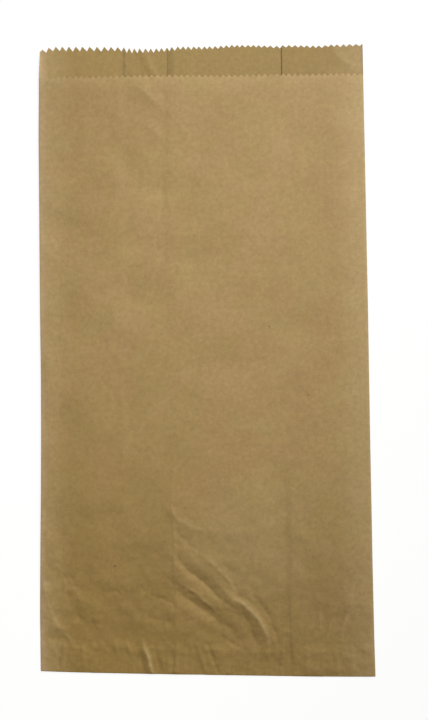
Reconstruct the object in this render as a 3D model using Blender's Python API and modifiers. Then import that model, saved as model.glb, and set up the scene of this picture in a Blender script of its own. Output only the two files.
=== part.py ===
"""Brown paper lunch bag: one sheet of kraft paper, cut with toothed ends, folded to a flat tube with side
gussets, seamed down the back, and closed at the bottom by a tongue of the front turned under the back.

The bag lies on its back. +X runs across it, +Y towards its mouth, +Z up; the origin is under its middle.
Every length is in metres. The sheet is drawn flat, in (u, v), and then folded point by point."""

import math

import bpy
from mathutils import Vector
from mathutils.geometry import delaunay_2d_cdt

# The flat bag
BAG_WIDTH = 0.180
BAG_LENGTH = 0.3435
LEFT_GUSSET = 0.048
RIGHT_GUSSET = 0.0445
LIP = 0.0180
FLAP = 0.0140
SEAM_X = -0.0180
SEAM_OVERLAP = 0.0120
CUT_SKEW = 0.0030

# The toothed knife
TOOTH_COUNT = 55
TOOTH_DEPTH = 0.0020

# The paper, and the glue or air between two layers of it
PAPER = 0.0001
LAYER_GAP = 0.0001

# How far the bag has sprung open: at its sides, at its middle, and over what length from the bottom
SIDE_SPRING = 0.0013
FRONT_SPRING = 0.0048
SIDE_SPRING_RUN = 0.080
FRONT_SPRING_RUN = 0.105
FRONT_FULLNESS = 2.5

# The length over which a layer comes down again past the flap's end, or past the seam's overlap
STEP_RUN = 0.004

# Spacing of the points that carry the form
FOLD_SEGMENTS = 2
NOSE_SEGMENTS = 4
PLAIN_STEP = 0.018
FRONT_STEP = 0.012
WRINKLE_STEP = 0.0054
WRINKLE_TOP = 0.105

KRAFT = (0.362, 0.249, 0.112, 1.0)

# Each crease in the front: how high it stands, its half width, and its line as (x, distance from the bottom)
CREASES = (
    (0.00060, 0.0050, ((-0.0170, 0.1000), (-0.0165, 0.0880), (-0.0110, 0.0830), (0.0260, 0.0590))),
    (-0.00050, 0.0040, ((-0.0150, 0.0640), (-0.0040, 0.0570), (0.0060, 0.0460), (0.0140, 0.0390))),
    (-0.00060, 0.0045, ((-0.0150, 0.0490), (-0.0070, 0.0420), (0.0045, 0.0320), (0.0150, 0.0220))),
    (0.00045, 0.0040, ((-0.0340, 0.0500), (-0.0170, 0.0410), (-0.0020, 0.0310), (0.0055, 0.0260))),
    (0.00065, 0.0050, ((0.0140, 0.0440), (0.0230, 0.0380), (0.0340, 0.0240), (0.0365, 0.0150))),
    (0.00050, 0.0050, ((-0.0860, 0.0400), (-0.0830, 0.0300), (-0.0780, 0.0235), (-0.0725, 0.0170))),
    (-0.00040, 0.0045, ((-0.0750, 0.0500), (-0.0665, 0.0370), (-0.0615, 0.0275))),
    (0.00035, 0.0040, ((0.0780, 0.0385), (0.0745, 0.0285), (0.0730, 0.0220))),
)

# What follows from those sizes. Four layers lie over the flap at the sides, so the bottom's round spans four.
PITCH = PAPER + LAYER_GAP
HALF = BAG_WIDTH / 2
FOLD = PITCH / 2
FLAT_HALF = HALF - FOLD
ARC = math.pi * FOLD
TOP = BAG_LENGTH / 2
BOTTOM = -BAG_LENGTH / 2
FLOOR_LEVEL = PAPER / 2
NOSE = 4 * PITCH / 2
NOSE_Y = BOTTOM + NOSE + PAPER / 2
BACK_END = NOSE_Y + PITCH
FLAP_TIP = BOTTOM + FLAP


def smooth(t):
    """0 below t = 0 and 1 above t = 1, with a level start and end."""
    t = min(1.0, max(0.0, t))
    return t * t * (3.0 - 2.0 * t)


def knife(x):
    """How far the toothed cut lies below the points of its teeth, at x across the bag."""
    phase = ((x + HALF) / (BAG_WIDTH / TOOTH_COUNT)) % 1.0
    return TOOTH_DEPTH * abs(2.0 * phase - 1.0)


def knife_points(low, high):
    """The x of each point and root of the teeth between low and high, short of both ends."""
    step = BAG_WIDTH / TOOTH_COUNT / 2
    found = [-HALF + k * step for k in range(2 * TOOTH_COUNT + 1)]
    return [x for x in found if low + step / 4 < x < high - step / 4]


def distance_to_line(x, y, line):
    """Distance from (x, y) to an open line of points, and how far along the line that is, from 0 to 1."""
    best, place = 1.0, 0.0
    for k in range(len(line) - 1):
        (ax, ay), (bx, by) = line[k], line[k + 1]
        length = (bx - ax) ** 2 + (by - ay) ** 2
        t = min(1.0, max(0.0, ((x - ax) * (bx - ax) + (y - ay) * (by - ay)) / length))
        away = math.hypot(x - ax - t * (bx - ax), y - ay - t * (by - ay))
        if away < best:
            best, place = away, (k + t) / (len(line) - 1)
    return best, place


def crease_height(x, up):
    """What the creases add to the front's height, at x and at a distance up from the bottom fold."""
    total = 0.0
    for height, half_width, line in CREASES:
        away, place = distance_to_line(x, up, line)
        if away < half_width:
            total += height * (1.0 - away / half_width) ** 1.5 * math.sin(math.pi * (0.1 + 0.8 * place))
    return total


def back_level(y):
    """Middle of the back's paper: over the flap at the bottom, and on the ground past its end."""
    return FLOOR_LEVEL + PITCH * (1.0 - smooth((y - FLAP_TIP) / STEP_RUN))


def side_level(y):
    """Middle of the front's paper at the two side folds."""
    up = y - NOSE_Y
    return back_level(y) + 3 * PITCH + SIDE_SPRING * smooth(up / SIDE_SPRING_RUN)


def front_level(x, y):
    """Middle of the front's paper: lowest at the sides, fullest along the middle, with its creases."""
    up = y - NOSE_Y
    spread = 1.0 - min(1.0, abs(x) / FLAT_HALF) ** FRONT_FULLNESS
    sprung = FRONT_SPRING * smooth(up / FRONT_SPRING_RUN) * spread
    return side_level(y) + sprung + crease_height(x, y - BOTTOM)


def back_panel_level(x, y, inner):
    """Middle of the back's paper. At the seam the part from the right lies on the part from the left."""
    if not inner:
        return back_level(y)
    past = x - (SEAM_X + SEAM_OVERLAP)
    return back_level(y) + PITCH * (1.0 - smooth(past / STEP_RUN))


def half_section(side):
    """Where the parts of one half of the sheet start, as distances u from the middle of the front."""
    depth = RIGHT_GUSSET if side > 0 else LEFT_GUSSET
    flat = depth - 2 * FOLD
    back = FLAT_HALF - SEAM_X if side > 0 else FLAT_HALF + SEAM_X + SEAM_OVERLAP
    starts = [FLAT_HALF]
    for length in (ARC, flat, ARC, flat, ARC, back):
        starts.append(starts[-1] + length)
    return depth, starts


SECTIONS = {1: half_section(1), -1: half_section(-1)}


def across(u):
    """The x that a point u of the sheet has once folded."""
    side = 1 if u > 0 else -1
    depth, start = SECTIONS[side]
    u = abs(u)
    inner = HALF - depth + FOLD
    if u <= start[0]:
        x = u
    elif u <= start[1]:
        x = FLAT_HALF + FOLD * math.sin((u - start[0]) / FOLD)
    elif u <= start[2]:
        x = FLAT_HALF - (u - start[1])
    elif u <= start[3]:
        x = inner - FOLD * math.sin((u - start[2]) / FOLD)
    elif u <= start[4]:
        x = inner + (u - start[3])
    elif u <= start[5]:
        x = FLAT_HALF + FOLD * math.sin((u - start[4]) / FOLD)
    else:
        x = FLAT_HALF - (u - start[5])
    return side * x


def level(u, y):
    """The height that a point u of the sheet has once folded, at y along the bag."""
    side = 1 if u > 0 else -1
    _, start = SECTIONS[side]
    x = across(u)
    u = abs(u)
    low, high = back_level(y), side_level(y)
    inside = (low + high) / 2
    if u <= start[0]:
        return front_level(x, y)
    if u <= start[1]:
        return high - FOLD * (1.0 - math.cos((u - start[0]) / FOLD))
    if u <= start[2]:
        t = (u - start[1]) / (start[2] - start[1])
        return (high - PITCH) * (1.0 - t) + (inside + FOLD) * t
    if u <= start[3]:
        return inside + FOLD * math.cos((u - start[2]) / FOLD)
    if u <= start[4]:
        t = (u - start[3]) / (start[4] - start[3])
        return (inside - FOLD) * (1.0 - t) + (low + PITCH) * t
    if u <= start[5]:
        return low + PITCH - FOLD * (1.0 - math.cos((u - start[4]) / FOLD))
    return back_panel_level(x, y, side > 0)


def folded(u, v):
    """The place of the sheet's point (u, v). Below NOSE_Y the front rolls under and runs back as the flap."""
    x = across(u)
    turn = (NOSE_Y - v) / NOSE
    if turn <= 0.0:
        y, z = v, level(u, v)
    elif turn < math.pi:
        y = NOSE_Y - NOSE * math.sin(turn)
        z = FLOOR_LEVEL + NOSE * (1.0 + math.cos(turn))
    else:
        y, z = NOSE_Y + (turn - math.pi) * NOSE, FLOOR_LEVEL
    return Vector((x, y - CUT_SKEW * x / BAG_WIDTH, z))


FLAP_END = NOSE_Y - math.pi * NOSE - (FLAP_TIP - NOSE_Y)


def spaced(low, high, step):
    """Evenly spaced values from low to high, no further than step apart, with both ends."""
    count = max(1, math.ceil((high - low) / step))
    return [low + (high - low) * k / count for k in range(count + 1)]


def tooth_columns(side, part):
    """The u of each tooth's point and root over one flat part of half the sheet."""
    _, start = SECTIONS[side]
    near, far = across(side * start[part]), across(side * start[part + 1])
    return sorted(start[part] + abs(x - near) for x in knife_points(min(near, far), max(near, far)))


def end_columns(side):
    """Every u, from the front's side fold outwards, where the long end of the sheet has a point."""
    _, start = SECTIONS[side]
    columns = []
    for fold in (0, 2, 4):
        columns += spaced(start[fold], start[fold + 1], ARC / FOLD_SEGMENTS)
        columns += tooth_columns(side, fold + 1)
    return columns + [start[6]]


def outline():
    """The sheet's edge, once round: a toothed end with the front's notch, and the tongue at the other."""
    front = [-FLAT_HALF] + knife_points(-FLAT_HALF, FLAT_HALF) + [FLAT_HALF]
    right = end_columns(1)
    left = [-u for u in end_columns(-1)]
    points = [(u, TOP - LIP - knife(u)) for u in front]
    points += [(u, TOP - knife(across(u))) for u in right]
    points += [(right[-1], v) for v in reversed(body_rows())]
    points += [(u, BACK_END) for u in reversed(right)]
    points += [(FLAT_HALF, v) for v in reversed(nose_rows())]
    points += [(u, FLAP_END + knife(u)) for u in reversed(front)]
    points += [(-FLAT_HALF, v) for v in nose_rows()]
    points += [(u, BACK_END) for u in left]
    points += [(left[-1], v) for v in body_rows()]
    points += [(u, TOP - knife(across(u))) for u in reversed(left)]
    return points


def nose_rows():
    """The v of the rows round the bottom fold, lowest first."""
    return spaced(NOSE_Y - math.pi * NOSE, NOSE_Y, math.pi * NOSE / NOSE_SEGMENTS)


def body_rows():
    """The v of the rows up the body, closer together where the back comes down past the flap."""
    rows = spaced(FLAP_TIP, FLAP_TIP + STEP_RUN, STEP_RUN / 2)
    rows += spaced(FLAP_TIP + STEP_RUN, TOP - LIP - 2 * TOOTH_DEPTH, PLAIN_STEP)[1:]
    return rows


def plain_columns(side):
    """The u of the points across the gusset and the back of one half, with the folds between them."""
    _, start = SECTIONS[side]
    seam_step = start[6] - SEAM_OVERLAP - STEP_RUN
    columns = []
    for fold in (0, 2):
        columns += spaced(start[fold], start[fold + 1], ARC / FOLD_SEGMENTS)
        columns += spaced(start[fold + 1], start[fold + 2], PLAIN_STEP)[1:-1]
    columns += spaced(start[4], start[5], ARC / FOLD_SEGMENTS)
    columns += spaced(start[5], seam_step, PLAIN_STEP)[1:]
    columns += spaced(seam_step, start[6] - SEAM_OVERLAP, STEP_RUN / 2)[1:]
    return columns + [start[6]]


def fold_lines():
    """Lines of points that hold each fold's small round and each step in the back, as lists of (u, v)."""
    lines = []
    for side in (1, -1):
        _, start = SECTIONS[side]
        for fold in (0, 2, 4):
            for u in spaced(start[fold], start[fold + 1], ARC / FOLD_SEGMENTS):
                rows = [BACK_END] + body_rows() + [TOP - knife(across(side * u))]
                lines.append([(side * u, v) for v in rows])
        for v in body_rows():
            lines.append([(side * u, v) for u in plain_columns(side)])
    for v in nose_rows():
        lines.append([(u, v) for u in spaced(-FLAT_HALF, FLAT_HALF, PLAIN_STEP)])
    return lines


def crease_lines():
    """Each crease as a line of points along its ridge, and one down each of its slopes."""
    lines = []
    for _, half_width, line in CREASES:
        for shift in (-0.55 * half_width, 0.0, 0.55 * half_width):
            points = []
            for (ax, ay), (bx, by) in zip(line, line[1:]):
                length = math.hypot(bx - ax, by - ay)
                across_x, across_y = (by - ay) / length, (ax - bx) / length
                for t in spaced(0.0, 1.0, WRINKLE_STEP / length)[:-1]:
                    points.append((ax + t * (bx - ax) + shift * across_x,
                                   BOTTOM + ay + t * (by - ay) + shift * across_y))
            lines.append(points)
    return lines


def field_points():
    """Points inside the front, as a grid that is finer where the creases are."""
    points = []
    for u in spaced(-FLAT_HALF, FLAT_HALF, FRONT_STEP)[1:-1]:
        points += [(u, v) for v in spaced(BOTTOM + WRINKLE_TOP, TOP - LIP - 2 * TOOTH_DEPTH, FRONT_STEP)]
    for u in spaced(-FLAT_HALF, FLAT_HALF, WRINKLE_STEP)[1:-1]:
        points += [(u, v) for v in spaced(FLAP_TIP, BOTTOM + WRINKLE_TOP, WRINKLE_STEP)[:-1]]
    return points


def sheet_mesh(name):
    """The flat sheet, cut into triangles along its folds and creases, then folded."""
    points = []
    edges = []
    ring = outline()
    points += ring
    edges += [(k, (k + 1) % len(ring)) for k in range(len(ring))]
    for line in fold_lines():
        first = len(points)
        points += line
        edges += [(first + k, first + k + 1) for k in range(len(line) - 1)]
    ridges = [point for line in crease_lines() for point in line]
    points += ridges
    clear = WRINKLE_STEP * 0.4
    for u, v in field_points():
        if all(abs(u - a) > clear or abs(v - b) > clear for a, b in ridges):
            points.append((u, v))
    flat = delaunay_2d_cdt([Vector(point) for point in points], edges, [], 1, 1e-6)
    mesh = bpy.data.meshes.new(name)
    mesh.from_pydata([folded(*point) for point in flat[0]], [], flat[2])
    mesh.validate()
    return mesh


def kraft_material():
    """Unbleached brown paper."""
    material = bpy.data.materials.new("brown_kraft_paper")
    material.use_nodes = True
    shader = material.node_tree.nodes["Principled BSDF"]
    shader.inputs["Base Color"].default_value = KRAFT
    shader.inputs["Roughness"].default_value = 0.8
    shader.inputs["Metallic"].default_value = 0.0
    return material


def build():
    for old in list(bpy.data.objects):
        bpy.data.objects.remove(old)
    bag = bpy.data.collections.new("paper_lunch_bag")
    bpy.context.scene.collection.children.link(bag)
    sheet = bpy.data.objects.new("paper_bag", sheet_mesh("paper_bag"))
    sheet.data.materials.append(kraft_material())
    thickness = sheet.modifiers.new("paper thickness", "SOLIDIFY")
    thickness.thickness = PAPER
    thickness.offset = 0.0
    bag.objects.link(sheet)
    return sheet


build()
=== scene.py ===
# %% [markdown]
# # A brown paper lunch bag
#
# The real bag is one sheet of unbleached kraft paper. A machine folds it to a flat tube with a gusset at
# each side, seams it down the back, chops it with a toothed knife and turns a tongue of the front under the
# back. Here the same sheet is drawn flat, folded by a few formulas, creased along listed lines and given a
# kraft finish. We begin with the imported model, which fixes the place and the size of everything.

# %% Load the imported model
import math
import bmesh
import bpy
import numpy as np
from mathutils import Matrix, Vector
from mathutils.noise import fractal as noise_at


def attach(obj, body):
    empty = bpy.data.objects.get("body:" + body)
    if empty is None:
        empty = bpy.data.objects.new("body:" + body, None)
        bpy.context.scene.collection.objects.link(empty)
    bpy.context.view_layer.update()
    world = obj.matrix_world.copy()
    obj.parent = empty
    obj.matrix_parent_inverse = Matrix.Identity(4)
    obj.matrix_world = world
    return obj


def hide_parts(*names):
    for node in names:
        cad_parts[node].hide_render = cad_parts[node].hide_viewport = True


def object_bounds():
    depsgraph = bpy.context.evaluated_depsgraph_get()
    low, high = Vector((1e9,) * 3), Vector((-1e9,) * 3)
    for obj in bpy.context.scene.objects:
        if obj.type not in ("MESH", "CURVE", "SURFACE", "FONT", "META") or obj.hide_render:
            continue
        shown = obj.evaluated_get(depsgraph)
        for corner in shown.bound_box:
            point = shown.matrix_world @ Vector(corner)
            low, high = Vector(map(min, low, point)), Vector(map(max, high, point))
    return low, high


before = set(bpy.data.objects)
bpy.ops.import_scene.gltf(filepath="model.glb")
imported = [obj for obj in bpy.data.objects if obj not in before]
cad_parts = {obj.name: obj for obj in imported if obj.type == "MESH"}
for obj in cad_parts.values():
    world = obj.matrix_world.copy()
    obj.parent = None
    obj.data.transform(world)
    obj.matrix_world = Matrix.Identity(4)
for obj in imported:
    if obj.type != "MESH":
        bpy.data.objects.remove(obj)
cad_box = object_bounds()
print("the packed bag spans", [round(float(b - a), 4) for a, b in zip(*cad_box)], "m")

# %% [markdown]
# ## The sizes of the bag
#
# A maker of bags thinks in a few sizes: the flat width, the cut length, the depth of each gusset, the
# lip that makes the mouth easy to find, and the pitch of the knife. They could be measured off the
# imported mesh, but plain numbers in millimetres are easier to read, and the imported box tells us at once
# if one of them is wrong.

# %% Sizes
MM = 0.001
BAG_WIDTH = 180 * MM
BAG_LENGTH = 343.5 * MM
LEFT_GUSSET = 48 * MM
RIGHT_GUSSET = 44.5 * MM
LIP = 18 * MM
FLAP = 14 * MM
SEAM_X = -18 * MM
SEAM_OVERLAP = 12 * MM
CUT_SKEW = 3 * MM
TOOTH_COUNT = 55
FRONT_TOOTH_DEPTH = 1.7 * MM
PAPER = 0.1 * MM
LAYER_GAP = 0.1 * MM
SIDE_SPRING = 1.3 * MM
FRONT_SPRING = 4.8 * MM
SIDE_SPRING_RUN = 80 * MM
FRONT_SPRING_RUN = 105 * MM
FRONT_FULLNESS = 2.5
MOUTH_PRESS = 0.6 * MM
MOUTH_RUN = 80 * MM
STEP_RUN = 4 * MM

# a layer takes its paper and a little air, and the side folds are half circles of radius FOLD
PITCH = PAPER + LAYER_GAP
HALF = BAG_WIDTH / 2
FOLD = PITCH / 2
FLAT_HALF = HALF - FOLD
ARC = math.pi * FOLD
TOP = BAG_LENGTH / 2
BOTTOM = -BAG_LENGTH / 2
FLOOR_LEVEL = PAPER / 2
# the bottom fold is a half circle of radius NOSE, and the tongue past it lies under the back
NOSE = 2 * PITCH
NOSE_Y = BOTTOM + NOSE + PAPER / 2
BACK_END = NOSE_Y + PITCH
FLAP_TIP = BOTTOM + FLAP
NOSE_END = NOSE_Y - math.pi * NOSE
FLAP_END = NOSE_END - (FLAP_TIP - NOSE_Y)
packed_width = float(cad_box[1][0] - cad_box[0][0])
print("width", round(BAG_WIDTH / MM, 1), "mm, packed", round(packed_width / MM, 1), "mm")

# %% [markdown]
# ## The sheet, laid flat
#
# A point of the flat sheet is (u, v): u runs across it from the middle of the front, and v runs along
# the bag. From the middle outwards, half the sheet is: half the front, a fold, the gusset's upper leaf,
# a fold, its lower leaf, a fold, and a part of the back that ends at the seam. The starts of those
# parts are all that the folding needs.

# %% The parts across half the sheet
def half_section(side):
    """Where the parts of one half of the sheet start, as distances u from the middle of the front."""
    depth = RIGHT_GUSSET if side > 0 else LEFT_GUSSET
    flat = depth - 2 * FOLD
    back = FLAT_HALF - SEAM_X if side > 0 else FLAT_HALF + SEAM_X + SEAM_OVERLAP
    starts = [FLAT_HALF]
    for length in (ARC, flat, ARC, flat, ARC, back):
        starts.append(starts[-1] + length)
    return np.array(starts)


SECTIONS = {1: half_section(1), -1: half_section(-1)}
print("flat sheet", round((SECTIONS[1][6] + SECTIONS[-1][6]) / MM, 1), "mm across")

# %% [markdown]
# ## Folding, as a formula
#
# The sheet could be folded by hinges or by simulation. A formula is exact, quick and repeatable: it
# says for each u how far across the folded bag it lies, and how high. The folds are small half circles.
# Each layer lies a paper's thickness and a little air above the one below, and the front has sprung up
# like a shallow pillow.

# %% Across the bag
def smooth(t):
    """0 below t = 0 and 1 above t = 1, with a level start and end."""
    t = np.clip(t, 0.0, 1.0)
    return t * t * (3.0 - 2.0 * t)


def across(u):
    """The x of each point u of the sheet, once folded."""
    x = np.empty_like(u)
    for side, start in SECTIONS.items():
        a = np.abs(u)
        mine = (u > 0) if side > 0 else (u <= 0)
        inner = FLAT_HALF - (start[2] - start[1])
        cases = [a <= start[k] for k in range(6)]
        values = [a, FLAT_HALF + FOLD * np.sin((a - start[0]) / FOLD), FLAT_HALF - (a - start[1]),
                  inner - FOLD * np.sin((a - start[2]) / FOLD), inner + (a - start[3]),
                  FLAT_HALF + FOLD * np.sin((a - start[4]) / FOLD)]
        x[mine] = side * np.select(cases, values, FLAT_HALF - (a - start[5]))[mine]
    return x


inner_fold = np.array([-SECTIONS[-1][2] - ARC / 2])
print("the left gusset's inner fold lies at x =", round(float(across(inner_fold)[0]) / MM, 1), "mm")

# %% [markdown]
# The height has three steady lines, which run along the bag: the back on the ground, the front at its
# two side folds, and the gussets' inner folds between them. Each leaf is then a straight slope from one
# line to another.

# %% Up from the table
def back_level(y):
    """Middle of the back's paper: over the flap at the bottom, and on the ground past its end."""
    return FLOOR_LEVEL + PITCH * (1.0 - smooth((y - FLAP_TIP) / STEP_RUN))


def side_level(y):
    """Middle of the front's paper at the two side folds."""
    return back_level(y) + 3 * PITCH + SIDE_SPRING * smooth((y - NOSE_Y) / SIDE_SPRING_RUN)


def front_level(x, y):
    """Middle of the front's paper: lowest at the sides, fullest along the middle."""
    spread = 1.0 - np.minimum(1.0, np.abs(x) / FLAT_HALF) ** FRONT_FULLNESS
    return side_level(y) + FRONT_SPRING * smooth((y - NOSE_Y) / FRONT_SPRING_RUN) * spread


def inner_level(y):
    """Height of the gussets' inner folds: midway between back and front, and lower near the mouth."""
    return (back_level(y) + side_level(y)) / 2 - MOUTH_PRESS * smooth((y - TOP + MOUTH_RUN) / MOUTH_RUN)


def level(u, y):
    """The height of each point u of the sheet, once folded, at y along the bag."""
    x, a = across(u), np.abs(u)
    low, high, inside = back_level(y), side_level(y), inner_level(y)
    z = np.empty_like(u)
    for side, start in SECTIONS.items():
        mine = (u > 0) if side > 0 else (u <= 0)
        t = (a - start[1]) / (start[2] - start[1])
        s = (a - start[3]) / (start[4] - start[3])
        seam = PITCH * (1.0 - smooth((x - SEAM_X - SEAM_OVERLAP) / STEP_RUN)) if side > 0 else 0.0
        cases = [a <= start[k] for k in range(6)]
        values = [front_level(x, y), high - FOLD * (1.0 - np.cos((a - start[0]) / FOLD)),
                  (high - PITCH) * (1.0 - t) + (inside + FOLD) * t,
                  inside + FOLD * np.cos((a - start[2]) / FOLD),
                  (inside - FOLD) * (1.0 - s) + (low + PITCH) * s,
                  low + PITCH - FOLD * (1.0 - np.cos((a - start[4]) / FOLD))]
        z[mine] = np.select(cases, values, low + seam)[mine]
    return z


middle_level = float(front_level(np.zeros(1), np.zeros(1))[0])
print("front stands", round(middle_level / MM, 2), "mm up at the middle")

# %% [markdown]
# ## Two toothed cuts
#
# A bag machine chops the tube with a toothed knife. Along the front the teeth are even and shallow.
# Along the mouth's long edge they come out uneven: coarse where the knife went through a gusset, finer
# over the back, and leaning a little. A regular wave would look stamped, so the mouth's teeth are laid
# one after another from a few readings across the bag, with a little seeded chance.

# %% The front's cut
def reading(table, at):
    """A value between the readings of a table of (place, value)."""
    spots, values = zip(*table)
    return np.interp(at, spots, values)


# millimetres across the bag, and how far the front's cut sags there below a straight one
FRONT_SAG = ((-90, -0.4), (-76, 0.0), (-61, 0.5), (-16, 0.6), (0, 0.8), (28, 0.8), (43, 0.3), (58, -0.1),
             (90, -1.3))


def knife(x):
    """How far the front's toothed cut lies below a straight one, at x across the bag."""
    phase = ((x + HALF) / (BAG_WIDTH / TOOTH_COUNT)) % 1.0
    return FRONT_TOOTH_DEPTH * np.abs(2.0 * phase - 1.0) + reading(FRONT_SAG, x / MM) * MM


print(TOOTH_COUNT, "teeth along the front,", round(BAG_WIDTH / TOOTH_COUNT / MM, 2), "mm apart")

# %% [markdown]
# The mouth's teeth have a pitch, a depth and a lean that change across the bag. Each is read from a
# short table, and the chance in each tooth comes from a seeded generator, so that the cut is the same
# every time.

# %% The mouth's cut
# millimetres across the bag, and the teeth's pitch, their depth, and where in each tooth its point lies
TOOTH_PITCH = ((-90, 3.8), (-50, 3.8), (-44, 3.0), (30, 3.0), (38, 3.3), (90, 3.3))
TOOTH_DEPTH = ((-90, 2.4), (-84, 2.9), (-45, 2.7), (-20, 2.2), (0, 1.7), (30, 1.4), (90, 1.4))
TOOTH_LEAN = ((-90, 0.36), (-50, 0.38), (-30, 0.47), (90, 0.50))
# how far the line of the mouth's points sags below a straight one
MOUTH_SAG = ((-90, 2.3), (-87, 1.9), (-84.5, 0.7), (-80, 0.3), (-55, 0.3), (-43, 0.5), (-36.5, 1.0),
             (-25, 1.1), (-19, 0.7), (-12, 0.15), (5, 0.15), (11, -0.1), (18, -0.6), (30, -0.45),
             (37, -0.05), (44, 0.2), (48, -0.05), (55, 0.3), (62, 0.55), (68, 0.8), (72, 0.3), (90, 0.5))


def mouth_teeth():
    """The x of each root and point of the mouth's teeth, and how far each lies below a straight cut."""
    chance = np.random.default_rng(3)
    x, spots, drops = -90.0, [-90.0], [1.2]
    while x < 88.5:
        pitch = reading(TOOTH_PITCH, x) * chance.uniform(0.93, 1.07)
        depth = reading(TOOTH_DEPTH, x) * chance.uniform(0.85, 1.12)
        lean = reading(TOOTH_LEAN, x) + chance.uniform(-0.07, 0.07)
        spots += [x + lean * pitch, x + pitch]
        drops += [0.0, depth]
        x += pitch
    # the last tooth is cut through at its point, at the right edge
    spots, drops = np.array(spots[:-1]), np.array(drops[:-1])
    spots = -90.0 + (spots + 90.0) * 180.0 / (spots[-1] + 90.0)
    return spots * MM, (drops + reading(MOUTH_SAG, spots)) * MM


MOUTH_X, MOUTH_DROP = mouth_teeth()
print(len(MOUTH_X) // 2, "teeth along the mouth")

# %% [markdown]
# ## Rails and zips
#
# The mesh is drawn on the flat sheet as rails that run along the bag, one at each point and root of the
# teeth, so that the toothed cut comes out sharp. The front needs many rows for its creases, and the
# hidden leaves need few. Neighbouring rails are zipped together: where their rows agree the zip makes
# squares, and elsewhere triangles, so fine and coarse parts meet with no gap.

# %% Rows of the front
FRONT_ROW = 1.35 * MM
UPPER_ROW = 2.2 * MM
PLAIN_ROW = 12 * MM
FOLD_SEGMENTS = 4
NOSE_SEGMENTS = 8


def spaced(low, high, step):
    """Evenly spaced values from low to high, no further than step apart, with both ends."""
    count = max(1, math.ceil((high - low) / step - 1e-6))
    return [low + (high - low) * k / count for k in range(count + 1)]


def chained(*runs):
    """Several runs of rising values as one, with no value twice."""
    chain = []
    for run in runs:
        chain += [v for v in run if not chain or v > chain[-1] + 1e-7]
    return chain


FRONT_CUT = TOP - LIP
LIP_ROW = 1.4 * MM
LAST_ROW = 0.6 * MM
CLEAR_OF_TEETH = FRONT_TOOTH_DEPTH + 1.5 * MM
flap_rows = spaced(FLAP_END + CLEAR_OF_TEETH, NOSE_END, 3 * MM)
nose_rows = spaced(NOSE_END, NOSE_Y, math.pi * NOSE / NOSE_SEGMENTS)
GRIPPED_END = BOTTOM + 112 * MM
gripped_rows = spaced(NOSE_Y, GRIPPED_END, FRONT_ROW)
front_rows = chained(gripped_rows, spaced(GRIPPED_END, FRONT_CUT - CLEAR_OF_TEETH, UPPER_ROW))
print(len(front_rows), "rows on the front")

# %% [markdown]
# A rail of the front runs from a tooth of the tongue, round the bottom fold, up to a tooth of the
# front's cut. A rail of a gusset or of the back starts at the bottom and ends at the mouth's cut. The
# side folds are where the two kinds meet, so they carry the rows of both.

# %% The points of each rail
corner_cut = {side: float(FRONT_CUT - knife(np.array([side * FLAT_HALF]))[0]) for side in (1, -1)}


def front_rail(u):
    """The v of the points along one rail of the front, from the flap's tooth to the mouth's."""
    cut = float(knife(np.array([u]))[0])
    return chained([FLAP_END + cut], flap_rows, nose_rows, front_rows, [FRONT_CUT - cut])


def side_rows(side):
    """The v of the points along the side fold, from the bottom up to the corner of the front's cut."""
    ramp = spaced(FLAP_TIP, FLAP_TIP + STEP_RUN, STEP_RUN / 4)
    upper = spaced(ramp[-1], corner_cut[side], PLAIN_ROW)
    return chained(spaced(BACK_END, FLAP_TIP, PLAIN_ROW), ramp, upper)


def outer_rail(side, u):
    """The v of the points along one rail of a gusset or of the back, up to the mouth's long cut."""
    cut = TOP - float(np.interp(across(np.array([u]))[0], MOUTH_X, MOUTH_DROP))
    lip_rows = [v for v in spaced(corner_cut[side], TOP, LIP_ROW) if v < cut - LAST_ROW]
    return chained(side_rows(side), lip_rows, [cut])


seam_rail = outer_rail(1, SECTIONS[1][6])
print(len(front_rail(0.0)), "points on the front's middle rail and", len(seam_rail), "on the seam's")

# %% [markdown]
# The rails themselves: the knife's points and roots over every flat part, and a few more round each
# fold.

# %% Rails across the sheet
FRONT_X = [-HALF + k * BAG_WIDTH / TOOTH_COUNT / 2 for k in range(2 * TOOTH_COUNT + 1)]
END_ROOM = 0.4 * MM


def inside_of(spots, low, high):
    """Those of the knife's points and roots that lie between low and high, short of both ends."""
    return [float(x) for x in spots if low + END_ROOM < x < high - END_ROOM]


def outer_columns(side):
    """Every u from the front's side fold out to the edge of the sheet where half the sheet has a rail."""
    start = SECTIONS[side]
    columns = []
    for fold in (0, 2, 4):
        columns += spaced(start[fold], start[fold + 1], ARC / FOLD_SEGMENTS)
        near, far = (float(across(np.array([side * start[k]]))[0]) for k in (fold + 1, fold + 2))
        first = start[fold + 1]
        spots = inside_of(MOUTH_X, min(near, far), max(near, far))
        columns += sorted(first + abs(x - near) for x in spots)
    return chained(columns, [start[6]])


front_columns = inside_of(FRONT_X, -FLAT_HALF, FLAT_HALF)
beyond = {side: len(outer_columns(side)) for side in (1, -1)}
print(len(front_columns), "rails on the front,", beyond[1], "and", beyond[-1], "beyond it")

# %% [markdown]
# Two neighbouring rails are closed like a zip, from the bottom up: the one whose next point lies lower
# steps first, and where both lie level they step together. A point that two rails share is made only
# once, so the sheet comes out whole and needs no welding.

# %% Zip the rails together
points, index_of, faces = [], {}, []


def rail(u, rows):
    """The numbers of a rail's points, which are made where they are new, with their v."""
    found = []
    for v in rows:
        key = (round(u, 7), round(v, 7))
        if key not in index_of:
            index_of[key] = len(points)
            points.append((u, v))
        found.append((v, index_of[key]))
    return found


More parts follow.
